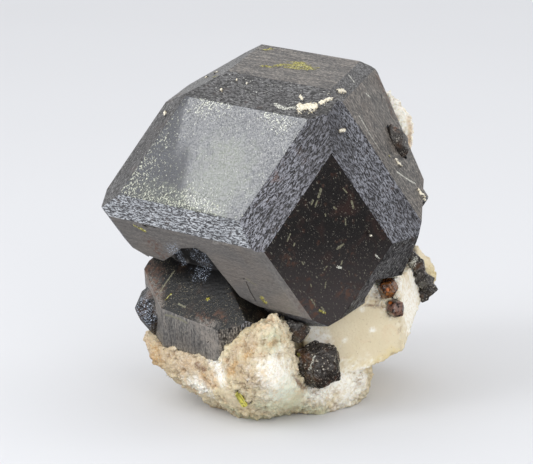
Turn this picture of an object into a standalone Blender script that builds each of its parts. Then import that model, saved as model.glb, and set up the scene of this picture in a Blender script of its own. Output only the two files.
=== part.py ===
"""Garnet crystals standing in their feldspar matrix, a cabinet specimen about 54 mm wide.

Metres, +Z up.  X runs along the specimen's width and Y from its front (-Y) to its back.  The origin
lies in the sawn-flat face that it rests on, below the big crystal.

Every garnet is the same crystal form: the twelve rhombic faces {110}, whose edges the twenty-four
narrow faces {211} cut off.  A crystal is its centre, its turn and how far each face lies from the
centre.  The matrix is one rock: rough lumps, and cleaved slabs of feldspar let into them, with a
socket left round each crystal.
"""

import itertools
import math

import bmesh
import bpy
from mathutils import Euler, Matrix, Vector, noise

MM = 0.001

# ---- driving dimensions, in millimetres and degrees ----------------------------------------------

GAP = 0.3               # clearance between a crystal and the rock round it
GRAIN_MESH = 1.5        # mesh size of the rough rock
GRAIN_HEIGHT = 0.55     # how far its lumps stand out
GRAIN_SIZE = 3.4        # their spacing
GRAIN_LEVEL = 0.75      # where in a cell its surface neither rises nor sinks
GRAIN_FINE = 0.5        # share of the finer unevenness, which is FINE_RATIO times as dense
FINE_RATIO = 2.3

SMALL_STRIP = 1.09      # how far a small crystal's {211} faces lie, against its {110} faces
CLUSTER_STRIP = 1.12    # the same for the cluster at the right edge

MAIN_CENTRE = (2.9, 0.0, 32.8)
MAIN_TURN = (-50.3, 0.35, -159.4)
MAIN_RHOMB = 20.6       # usual distance of a {110} face from the centre
MAIN_STRIP = 22.6       # usual distance of a {211} face
MAIN_FACES = {          # faces that grew faster or slower than that
    (1, 0, 1): 20.5, (0, 1, 1): 21.0, (0, -1, 1): 21.05, (1, 1, 0): 19.9, (-1, 0, 1): 19.95,
    (1, 1, 2): 22.3, (1, -1, 2): 22.0, (2, 1, 1): 22.2, (1, 2, 1): 23.3, (-1, 1, 2): 21.5,
    (-1, 2, 1): 22.75, (-1, -1, 2): 22.9, (1, -1, 0): 23.5, (2, -1, 1): 23.9, (2, 1, -1): 24.1,
    (1, 0, -1): 23.0, (2, -1, -1): 26.0, (1, -2, 1): 22.5, (-1, -2, 1): 24.3, (-2, -1, 1): 24.2,
    (-1, -1, 0): 22.0, (-1, 1, 0): 24.8, (-2, 1, 1): 24.5, (-2, 1, -1): 22.5, (0, 1, -1): 17.3,
    (1, 2, -1): 18.9, (-1, 2, -1): 18.5,
}
MAIN_CONTACTS = (       # flats where it grew against rock or crystal: azimuth, elevation, distance
    (8.7, 21.4, 21.6), (0.0, -21.5, 20.7), (1.0, -15.5, 20.7), (152.1, -63.3, 14.3),
)
HOLLOW_DEPTH = 3.5      # etched hollow in the crystal's lower left face
HOLLOW_RISE = 1.5       # how far its cutter stands out of the face
HOLLOW_OUTLINE = (      # its corners on that face, from the face's middle
    (-14.2, 2.9), (-12.6, 3.5), (-10.1, 2.9), (-7.7, 4.5), (-4.9, 6.6), (-1.7, 7.2), (-0.2, 6.2),
    (1.1, 2.1), (2.7, -2.4), (6.2, -4.3), (2.6, -12.0), (-19.0, -6.0),
)
CORNER_FRONT, CORNER_BACK = -20.0, -3.0
CORNER_OUTLINE = (      # missing lower right corner of the crystal, where the slab comes up: X, Z
    (15.2, 19.4), (16.9, 22.3), (23.6, 22.9), (23.6, 14.0), (15.2, 14.0),
)
CORNER_DROP = 2.6       # how much lower its back end lies than its front end
STEP_CENTRE = (22.6, -0.6, 32.8)
STEP_RHOMB = 2.6        # small parallel growth on the right edge

LOWER_CENTRE = (-8.8, -2.6, 14.3)
LOWER_TURN = (143.4, -20.1, -73.9)
LOWER_RHOMB = 9.5
LOWER_STRIP = 14.5
LOWER_FACES = {
    (1, 1, 0): 9.0, (0, 1, 1): 9.0, (1, 1, 2): 9.0, (1, 0, 1): 12.5, (1, -1, 0): 15.0,
    (0, -1, 1): 12.0, (1, 0, -1): 10.0, (0, 1, -1): 13.5,
}
LOWER_CONTACTS = ((140.0, 40.0, 11.8), (200.0, -80.0, 5.6))
SIDE_CENTRE = (-17.7, -3.2, 15.6)
SIDE_TURN = (0.0, 4.0, 25.0)
SIDE_RHOMB = 2.7
SIDE_STRETCH = 1.25

BASE_HEIGHT = 0.0       # the flat that the specimen rests on

# name: centre, turn, distance of the {110} faces, stretch along the crystal's own Z
SMALL_GARNETS = {
    "front_garnet": ((8.0, -13.4, 8.9), (20, 35, 10), 3.3, 1.0),
    "wedged_garnet": ((4.6, -13.4, 14.8), (50, 10, 30), 2.0, 1.0),
    "rust_garnet_upper": ((19.0, -9.7, 20.3), (15, 25, 40), 1.45, 1.0),
    "rust_garnet_lower": ((20.2, -9.2, 16.9), (20, 45, 0), 1.3, 1.0),
    "upper_right_garnet": ((20.4, -2.4, 42.0), (4, -20, 30), 1.75, 1.5),
}
EDGE_GARNETS = (        # crystals of the cluster at the right edge: centre, distance of {110} faces
    ((23.3, 1.6, 22.6), 1.1), ((24.2, 2.0, 21.3), 1.3), ((24.6, 2.6, 19.7), 1.2),
    ((25.7, 3.2, 18.4), 1.3), ((26.3, 3.8, 17.0), 1.2), ((25.5, 3.9, 15.9), 1.0),
)
CLUSTER_TURN = (40, 25, 15)  # how much each is turned against the one before

EPIDOTE_CENTRE = (-3.9, -18.4, 4.8)
EPIDOTE_WIDTH = 1.15
EPIDOTE_LENGTH = 2.9
EPIDOTE_FLATTEN = 0.75  # its thickness over its width
EPIDOTE_CHISEL = 0.45   # slope of its end faces
EPIDOTE_TURN = (25, -23, -12)

# Corners of the rock's rough lumps.
ROUGH_LUMPS = {
    "front": (
        (0.6, -18.6, 18.6), (2.7, -18.4, 18.2), (-3.9, -18.2, 15.6), (-7.4, -16.0, 11.8),
        (-0.7, -22.0, 14.3), (-2.6, -23.0, 9.2), (0.6, -22.6, 7.8), (-4.6, -11.0, -1.0),
        (-7.8, -16.0, 4.8), (3.4, -8.6, -1.0), (-4.4, -15.6, 2.2), (-0.7, -16.2, 1.9),
        (3.3, -14.6, 2.4), (4.1, -17.2, 12.0), (5.4, -16.6, 8.2), (6.4, -15.6, 4.8),
        (-0.7, -12.2, -1.0), (2.0, -6.0, 14.0), (-8.0, -4.0, 2.0), (4.0, -2.0, -1.0),
    ),
    "left": (
        (-20.6, -2.0, 11.2), (-19.0, -5.0, 7.9), (-16.3, -8.0, 6.0), (-12.3, -11.0, 5.4),
        (-10.2, -13.2, 4.8), (-7.6, -15.8, 4.9), (-19.2, -1.5, 8.8), (-15.8, -8.4, 10.8),
        (-12.7, -11.0, 10.9), (-8.8, -13.6, 11.3), (-17.5, 6.0, 8.0), (-12.0, 11.0, 3.0),
        (-14.0, 9.0, 14.0), (-4.0, 10.0, -1.0), (-7.0, -6.0, -1.0), (-4.0, 8.0, 14.0),
    ),
    "foot": (
        (-6.0, -7.0, -1.0), (4.6, -13.5, 2.8), (5.0, -7.5, -1.0), (-8.0, 12.0, -1.0),
        (4.0, 18.0, -1.0), (16.0, 15.0, -1.0), (17.0, 3.0, -1.0), (14.0, 17.0, 12.0),
        (-8.0, 14.0, 13.0), (6.0, -6.0, 15.0), (18.0, 4.0, 12.0),
    ),
    "block": (
        (6.5, -14.3, 5.3), (15.8, -8.2, 6.4), (16.3, -6.0, 3.2), (15.2, -3.0, -1.0),
        (11.0, -8.2, -1.0), (8.4, -10.6, -1.0), (4.6, -14.0, 2.6), (6.0, -6.0, -1.0),
        (6.0, -5.0, 7.0), (16.0, 4.0, 6.0), (16.4, 5.0, -1.0),
    ),
    "back": (
        (-13.0, 13.0, 3.0), (-14.5, 15.0, 13.0), (-10.0, 21.5, 16.5), (-4.0, 25.4, 23.5),
        (1.5, 27.2, 26.0), (6.5, 27.6, 35.0), (13.0, 26.6, 43.6), (19.2, 19.0, 47.2),
        (22.4, 15.0, 44.0), (24.0, 14.0, 26.0), (24.6, 16.0, 12.0), (15.0, 21.5, 2.0),
        (0.0, 22.0, 2.0), (-6.0, 23.5, 10.0), (12.0, 27.5, 18.0), (0.0, 6.0, 10.0),
        (20.0, 4.0, 12.0), (-4.0, 8.0, 20.0), (4.0, 12.0, 33.0), (11.0, 9.0, 43.0),
        (17.0, 8.0, 45.0),
    ),
}
# Corners of the cleaved slabs.
SLABS = {
    "slab_front": (
        (5.6, -9.8, 15.0), (13.1, -9.6, 19.4), (18.2, -8.8, 21.6), (21.0, -7.6, 21.4),
        (20.7, -8.9, 18.2), (21.6, -8.2, 9.8), (15.8, -9.4, 7.1), (11.7, -10.3, 6.2),
        (5.6, -10.8, 7.2), (25.1, 3.0, 15.4), (24.2, 4.0, 12.8), (23.1, 4.0, 9.2),
        (24.6, 6.0, 21.0), (21.0, 10.0, 8.0), (8.0, 8.0, 7.0), (8.0, 8.0, 20.0),
    ),
    "slab_edge": (
        (24.4, 9.5, 23.4), (27.9, 9.0, 19.5), (28.2, 8.0, 17.9), (26.8, 6.6, 15.8),
        (24.5, 3.2, 21.0), (21.0, 14.0, 12.0), (21.0, 16.0, 24.0), (20.0, 5.0, 14.0),
        (25.5, 13.0, 16.0),
    ),
    "slab_top": (
        (19.6, 13.4, 48.2), (21.5, 14.0, 46.9), (24.4, 13.2, 43.2), (23.2, 12.0, 38.9),
        (23.2, 11.0, 28.0), (18.0, 18.5, 47.6), (22.5, 17.5, 43.0), (20.0, 18.0, 28.0),
        (14.0, 14.0, 30.0), (14.0, 16.0, 44.0),
    ),
}
ROUND_EDGE = 0.35       # rounding of a slab's edges
ROUND_ABOVE = 20        # edges sharper than this are rounded

# ---- helpers -------------------------------------------------------------------------------------


def clear_scene():
    for obj in list(bpy.data.objects):
        bpy.data.objects.remove(obj, do_unlink=True)


def millimetres(point):
    return Vector(point) * MM


def turned(angles):
    return Euler([math.radians(angle) for angle in angles], "XYZ").to_matrix()


def direction(azimuth, elevation):
    flat = math.cos(math.radians(elevation))
    return Vector((flat * math.cos(math.radians(azimuth)), flat * math.sin(math.radians(azimuth)),
                   math.sin(math.radians(elevation))))


def material(name, colour, roughness):
    made = bpy.data.materials.new(name)
    made.use_nodes = True
    shader = made.node_tree.nodes["Principled BSDF"]
    shader.inputs["Base Color"].default_value = (*colour, 1.0)
    shader.inputs["Roughness"].default_value = roughness
    made.diffuse_color = (*colour, 1.0)
    return made


def make_object(name, bm, finish=None):
    """The bmesh as a named object in the scene, with its faces pointing out."""
    bmesh.ops.recalc_face_normals(bm, faces=bm.faces[:])
    mesh = bpy.data.meshes.new(name)
    bm.to_mesh(mesh)
    bm.free()
    obj = bpy.data.objects.new(name, mesh)
    bpy.context.scene.collection.objects.link(obj)
    if finish:
        mesh.materials.append(finish)
    return obj


def keep_below(bm, point, normal):
    """Cut a closed mesh with a plane, drop what lies beyond it and close the cut."""
    everything = bm.verts[:] + bm.edges[:] + bm.faces[:]
    cut = bmesh.ops.bisect_plane(bm, geom=everything, dist=1e-7, plane_co=point, plane_no=normal,
                                 clear_outer=True)
    rim = [item for item in cut["geom_cut"] if isinstance(item, bmesh.types.BMEdge)]
    if rim:
        bmesh.ops.holes_fill(bm, edges=rim, sides=0)


def finish_modifiers(obj):
    """Replace the object's mesh by what its modifiers make of it."""
    graph = bpy.context.evaluated_depsgraph_get()
    done = bpy.data.meshes.new_from_object(obj.evaluated_get(graph))
    obj.modifiers.clear()
    obj.data = done
    return obj


def boolean(obj, other, operation):
    """Join the other object to this one, or cut it out, and remove the other."""
    step = obj.modifiers.new(operation.title(), "BOOLEAN")
    step.object = other
    step.operation = operation
    step.solver = "EXACT"
    finish_modifiers(obj)
    bpy.data.objects.remove(other, do_unlink=True)
    return obj


def largest_piece(obj):
    """Drop crumbs that a cut left loose, keeping the largest connected shell."""
    bm = bmesh.new()
    bm.from_mesh(obj.data)
    bmesh.ops.remove_doubles(bm, verts=bm.verts[:], dist=1e-6)
    unseen = set(bm.verts)
    shells = []
    while unseen:
        edge_of_search = [unseen.pop()]
        shell = set(edge_of_search)
        while edge_of_search:
            for link in edge_of_search.pop().link_edges:
                for vert in link.verts:
                    if vert in unseen:
                        unseen.discard(vert)
                        shell.add(vert)
                        edge_of_search.append(vert)
        shells.append(shell)
    keep = max(shells, key=len)
    bmesh.ops.delete(bm, geom=[vert for vert in bm.verts if vert not in keep], context="VERTS")
    bm.to_mesh(obj.data)
    bm.free()
    return obj


# ---- crystals ------------------------------------------------------------------------------------


def garnet_faces(rhomb, strip, changed=None):
    """Distance of each face of the form, by its Miller index."""
    faces = {}
    for index in itertools.product((-1, 0, 1), repeat=3):
        if sum(map(abs, index)) == 2:
            faces[index] = rhomb
    for index in itertools.product((-2, -1, 1, 2), repeat=3):
        if sorted(map(abs, index)) == [1, 1, 2]:
            faces[index] = strip
    faces.update(changed or {})
    return faces


def crystal(centre, turn, faces, contacts=(), grow=0.0, stretch=1.0):
    """A convex crystal as a bmesh: a block cut down by each of its faces, all moved out by grow."""
    matrix = turned(turn) @ Matrix.Diagonal((1.0, 1.0, stretch))
    planes = []
    for index, distance in faces.items():
        flat = Vector(index).normalized()
        normal = (turned(turn) @ Matrix.Diagonal((1.0, 1.0, 1.0 / stretch)) @ flat).normalized()
        planes.append((matrix @ (flat * distance), normal))
    for azimuth, elevation, distance in contacts:
        normal = direction(azimuth, elevation)
        planes.append((normal * distance, normal))
    bm = bmesh.new()
    bmesh.ops.create_cube(bm, size=6 * max(faces.values()) * MM)
    for point, normal in planes:
        keep_below(bm, (point + normal * grow) * MM, normal)
    bmesh.ops.translate(bm, verts=bm.verts[:], vec=millimetres(centre))
    return bm


def hollow_cutter():
    """The etched hollow: an outline on the lower left face of the big crystal, sunk into it."""
    normal = turned(MAIN_TURN) @ Vector((1, 1, 0)).normalized()
    across = Vector((0, 0, 1)).cross(normal).normalized()
    upward = normal.cross(across)
    face = millimetres(MAIN_CENTRE) + normal * MAIN_FACES[(1, 1, 0)] * MM
    bm = bmesh.new()
    start = face + normal * HOLLOW_RISE * MM
    ring = [bm.verts.new(start + (across * u + upward * v) * MM) for u, v in HOLLOW_OUTLINE]
    cap = bm.faces.new(ring)
    side = bmesh.ops.extrude_face_region(bm, geom=[cap])
    moved = [item for item in side["geom"] if isinstance(item, bmesh.types.BMVert)]
    bmesh.ops.translate(bm, verts=moved, vec=-normal * (HOLLOW_DEPTH + HOLLOW_RISE) * MM)
    return bm


def corner_cutter(shrink):
    """The block that the crystal lacks at its lower right, drawn in by a clearance."""
    lift = 0.5 * CORNER_DROP
    corners = [(x, CORNER_FRONT, z + lift) for x, z in CORNER_OUTLINE]
    corners += [(x, CORNER_BACK, z - lift) for x, z in CORNER_OUTLINE]
    middle = sum((Vector(corner) for corner in corners), Vector()) / len(corners)
    sizes = [max(abs(Vector(corner)[axis] - middle[axis]) for corner in corners) for axis in range(3)]
    factors = [1.0 - shrink / size for size in sizes]
    drawn = [[middle[axis] + (corner[axis] - middle[axis]) * factors[axis] for axis in range(3)]
             for corner in corners]
    return hull(drawn)


def garnet_group(grow=0.0):
    """The big crystal with the lower one, the small one at its side and the step, grown together."""
    group = make_object("garnet_group", crystal(
        MAIN_CENTRE, MAIN_TURN, garnet_faces(MAIN_RHOMB, MAIN_STRIP, MAIN_FACES), MAIN_CONTACTS, grow))
    if not grow:
        boolean(group, make_object("hollow", hollow_cutter()), "DIFFERENCE")
    others = (
        (LOWER_CENTRE, LOWER_TURN, garnet_faces(LOWER_RHOMB, LOWER_STRIP, LOWER_FACES), LOWER_CONTACTS,
         1.0),
        (SIDE_CENTRE, SIDE_TURN, garnet_faces(SIDE_RHOMB, SMALL_STRIP * SIDE_RHOMB), (), SIDE_STRETCH),
        (STEP_CENTRE, MAIN_TURN, garnet_faces(STEP_RHOMB, SMALL_STRIP * STEP_RHOMB), (), 1.0),
    )
    for centre, turn, faces, contacts, stretch in others:
        grown = crystal(centre, turn, faces, contacts, grow, stretch)
        boolean(group, make_object("grown", grown), "UNION")
    boolean(group, make_object("corner", corner_cutter(grow)), "DIFFERENCE")
    if not grow:
        boolean(group, small_garnet("upper_right_garnet", GAP), "DIFFERENCE")
        largest_piece(group)
    return group


def small_garnet(name, grow=0.0):
    centre, turn, rhomb, stretch = SMALL_GARNETS[name]
    faces = garnet_faces(rhomb, SMALL_STRIP * rhomb)
    return make_object(name, crystal(centre, turn, faces, grow=grow, stretch=stretch))


def edge_garnets(grow=0.0):
    """The cluster of small crystals at the right edge, grown into one."""
    cluster = None
    for number, (centre, rhomb) in enumerate(EDGE_GARNETS):
        turn = [angle * number for angle in CLUSTER_TURN]
        faces = garnet_faces(rhomb, CLUSTER_STRIP * rhomb)
        one = make_object("edge_garnets", crystal(centre, turn, faces, grow=grow))
        cluster = boolean(cluster, one, "UNION") if cluster else one
    cluster.name = "edge_garnets"
    return cluster


def epidote_prism(grow=0.0):
    """A stubby six-sided prism with a chisel end."""
    bm = bmesh.new()
    bmesh.ops.create_cone(bm, cap_ends=True, segments=6, radius1=EPIDOTE_WIDTH / 2 + grow,
                          radius2=EPIDOTE_WIDTH / 2 + grow, depth=EPIDOTE_LENGTH + 2 * grow)
    bmesh.ops.scale(bm, verts=bm.verts[:], vec=(1.0, EPIDOTE_FLATTEN, 1.0))
    end = Vector((0.0, 0.0, EPIDOTE_LENGTH / 2 + grow))
    for side in (-1, 1):
        keep_below(bm, end, Vector((EPIDOTE_CHISEL * side, 0.0, 1.0)))
    bmesh.ops.transform(bm, verts=bm.verts[:], matrix=turned(EPIDOTE_TURN).to_4x4())
    bmesh.ops.scale(bm, verts=bm.verts[:], vec=(MM, MM, MM))
    bmesh.ops.translate(bm, verts=bm.verts[:], vec=millimetres(EPIDOTE_CENTRE))
    return make_object("epidote_prism", bm)


# ---- matrix --------------------------------------------------------------------------------------


def hull(corners):
    bm = bmesh.new()
    for corner in corners:
        bm.verts.new(millimetres(corner))
    made = bmesh.ops.convex_hull(bm, input=bm.verts[:])
    inner = [item for item in made["geom_interior"] if isinstance(item, bmesh.types.BMVert)]
    bmesh.ops.delete(bm, geom=inner, context="VERTS")
    return bm


def grain(point):
    """Height of the rock's grain at a point, from rounded cells with finer unevenness on them."""
    place = point / (GRAIN_SIZE * MM)
    nearest = noise.voronoi(place)[0]
    cells = GRAIN_LEVEL - nearest[0]
    fine = noise.noise(place * FINE_RATIO)
    return (cells + GRAIN_FINE * fine) * GRAIN_HEIGHT * MM


def rough_rock():
    """The lumps run together, remeshed evenly and roughened along their normals."""
    bm = bmesh.new()
    for corners in ROUGH_LUMPS.values():
        lump = hull(corners)
        bmesh.ops.recalc_face_normals(lump, faces=lump.faces[:])
        mesh = bpy.data.meshes.new("lump")
        lump.to_mesh(mesh)
        lump.free()
        bm.from_mesh(mesh)
        bpy.data.meshes.remove(mesh)
    rock = make_object("matrix", bm)
    even = rock.modifiers.new("Even mesh", "REMESH")
    even.mode = "VOXEL"
    even.voxel_size = GRAIN_MESH * MM
    finish_modifiers(rock)
    bm = bmesh.new()
    bm.from_mesh(rock.data)
    bmesh.ops.smooth_vert(bm, verts=bm.verts[:], factor=0.5, use_axis_x=True, use_axis_y=True,
                          use_axis_z=True)
    bm.normal_update()
    heights = [(vert, vert.normal.copy(), grain(vert.co)) for vert in bm.verts]
    for vert, normal, height in heights:
        vert.co += normal * height
    bm.to_mesh(rock.data)
    bm.free()
    return rock


def slab(name):
    piece = make_object(name, hull(SLABS[name]))
    edge = piece.modifiers.new("Worn edges", "BEVEL")
    edge.width = ROUND_EDGE * MM
    edge.segments = 2
    edge.limit_method = "ANGLE"
    edge.angle_limit = math.radians(ROUND_ABOVE)
    return finish_modifiers(piece)


def cut_flat(obj, height):
    bm = bmesh.new()
    bm.from_mesh(obj.data)
    keep_below(bm, Vector((0.0, 0.0, height * MM)), Vector((0.0, 0.0, -1.0)))
    bm.to_mesh(obj.data)
    bm.free()
    return obj


def matrix_rock():
    rock = rough_rock()
    for name in SLABS:
        boolean(rock, slab(name), "UNION")
    cut_flat(rock, BASE_HEIGHT)
    sockets = [garnet_group(GAP), edge_garnets(GAP), epidote_prism(GAP)]
    sockets += [small_garnet(name, GAP) for name in SMALL_GARNETS]
    for socket in sockets:
        boolean(rock, socket, "DIFFERENCE")
    return largest_piece(rock)


def main():
    clear_scene()
    dark = material("dark garnet", (0.035, 0.026, 0.024), 0.28)
    rust = material("rust brown garnet", (0.16, 0.055, 0.02), 0.25)
    green = material("epidote", (0.30, 0.34, 0.05), 0.35)
    rock = material("feldspar matrix", (0.72, 0.62, 0.45), 0.75)

    matrix_rock().data.materials.append(rock)
    group = garnet_group()
    group.data.materials.clear()
    group.data.materials.append(dark)
    for name in SMALL_GARNETS:
        garnet = small_garnet(name)
        garnet.data.materials.append(rust if name.startswith("rust") else dark)
        if name != "upper_right_garnet":
            boolean(garnet, garnet_group(GAP), "DIFFERENCE")
            largest_piece(garnet)
        garnet.name = name
    cluster = edge_garnets()
    cluster.data.materials.append(dark)
    boolean(cluster, garnet_group(GAP), "DIFFERENCE")
    largest_piece(cluster)
    epidote_prism().data.materials.append(green)


main()
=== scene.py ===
"""Dresses the garnet specimen: crystals with polished, ridged and etched faces in sugary feldspar.

Lengths are metres in the meshes.  Marks and patterns are given in millimetres, in the same axes:
X to the right, Y to the back, Z up, with the origin in the flat that the specimen rests on.
"""

import itertools
import math

import bmesh
import bpy
import numpy as np
from mathutils import Euler, Matrix, Vector, noise
from mathutils.bvhtree import BVHTree
from mathutils.kdtree import KDTree


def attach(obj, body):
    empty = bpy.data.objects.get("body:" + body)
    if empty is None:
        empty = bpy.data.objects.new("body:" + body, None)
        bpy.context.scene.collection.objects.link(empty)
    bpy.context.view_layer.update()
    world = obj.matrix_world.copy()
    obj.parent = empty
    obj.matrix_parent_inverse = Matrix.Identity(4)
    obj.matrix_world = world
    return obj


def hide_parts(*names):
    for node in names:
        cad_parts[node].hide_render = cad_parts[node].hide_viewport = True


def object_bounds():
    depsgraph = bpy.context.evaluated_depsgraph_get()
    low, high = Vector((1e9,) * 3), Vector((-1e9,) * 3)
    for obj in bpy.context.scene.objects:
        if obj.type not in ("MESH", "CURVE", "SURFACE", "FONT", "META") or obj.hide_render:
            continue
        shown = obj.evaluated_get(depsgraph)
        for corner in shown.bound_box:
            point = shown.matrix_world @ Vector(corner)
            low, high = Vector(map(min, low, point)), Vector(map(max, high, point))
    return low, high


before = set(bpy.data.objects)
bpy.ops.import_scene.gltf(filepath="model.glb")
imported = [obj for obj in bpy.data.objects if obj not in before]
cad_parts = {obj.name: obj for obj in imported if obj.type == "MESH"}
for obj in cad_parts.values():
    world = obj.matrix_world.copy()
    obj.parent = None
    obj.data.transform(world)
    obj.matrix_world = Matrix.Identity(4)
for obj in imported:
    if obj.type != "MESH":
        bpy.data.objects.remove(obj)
CAD_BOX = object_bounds()

MM = 0.001
SAME_POINT = 1e-6  # metres: corners nearer than this are one

# ---- how the crystals are turned, in degrees about X, Y and Z 

MAIN_TURN = (-50.3, 0.35, -159.4)
LOWER_TURN = (143.4, -20.1, -73.9)
EPIDOTE_TURN = (25, -23, -12)

# ---- sizes of the finest work, in millimetres ------------

WORN_EDGE, SMALL_WORN_EDGE = 0.13, 0.1
KEEN_TURN, KEEN_LENGTH = 9, 0.5  # an edge that turns by more degrees than this, and is longer, is worn
FACE_MESH, STRIP_MESH, ROCK_MESH = 1.4, 0.6, 0.32
FINEST_MARK_MESH, COARSEST_MARK_MESH = 0.12, 0.3
CRUST_RISE, OLIVE_RISE, CRACK_DEPTH, WRINKLE = 0.25, 0.1, 0.12, 0.09
SKIN = 0.04  # where rock meets crystal, the rock's mesh lies this far outside the crystal's
CLEAVAGE_AREA = 5.0  # square millimetres: a larger face of the rock's solid is a smooth cleavage
SAME_WAY = 0.9996  # the cosine of 1.6 degrees: a face that turns less from a form's face is one of it

# ---- marks on the big crystals, in millimetres: attribute, radius, points along it 

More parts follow.
